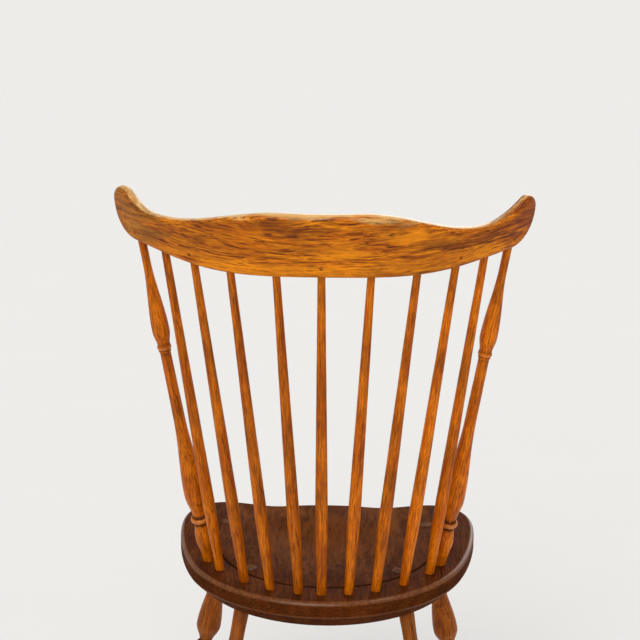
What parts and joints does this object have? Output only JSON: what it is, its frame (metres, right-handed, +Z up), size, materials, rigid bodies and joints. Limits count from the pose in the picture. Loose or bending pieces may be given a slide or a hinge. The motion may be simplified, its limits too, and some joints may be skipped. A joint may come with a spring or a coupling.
{
  "type": "windsor side chair",
  "caption": "Fan-back windsor side chair with a saddled plank seat, raked turned legs, H stretchers, tapered spindles, turned posts and a bent crest rail with upturned ears.",
  "frame": {"origin": "on the floor, under the middle of the chair's overall width and depth", "axes": "+Z up, the chair faces -Y, +X towards the sitter's left"},
  "size_m": [0.5354, 0.511, 0.9757],
  "materials": {
    "back_oak": "old varnished oak with dark open grain, amber to orange-brown, satin",
    "seat_plank": "dark red-brown stained plank, worn, satin",
    "leg_wood": "old varnished turned wood, brown, darker in the turned hollows, satin",
    "peg_wood": "dark end grain, matt",
    "wedge_wood": "brown end grain, matt"
  },
  "bodies": {
    "root": {"crest_rail": "back_oak", "spindle_1": "back_oak", "spindle_2": "back_oak", "spindle_3": "back_oak", "spindle_4": "back_oak", "spindle_5": "back_oak", "spindle_6": "back_oak", "spindle_7": "back_oak", "spindle_8": "back_oak", "spindle_9": "back_oak", "post_left": "back_oak", "post_right": "back_oak", "seat": "seat_plank", "leg_front_left": "leg_wood", "leg_front_right": "leg_wood", "leg_rear_left": "leg_wood", "leg_rear_right": "leg_wood", "side_stretcher_left": "leg_wood", "side_stretcher_right": "leg_wood", "cross_stretcher": "leg_wood", "crest_pegs": "peg_wood", "leg_wedges": "wedge_wood", "post_wedges": "wedge_wood"}
  },
  "joints": []
}
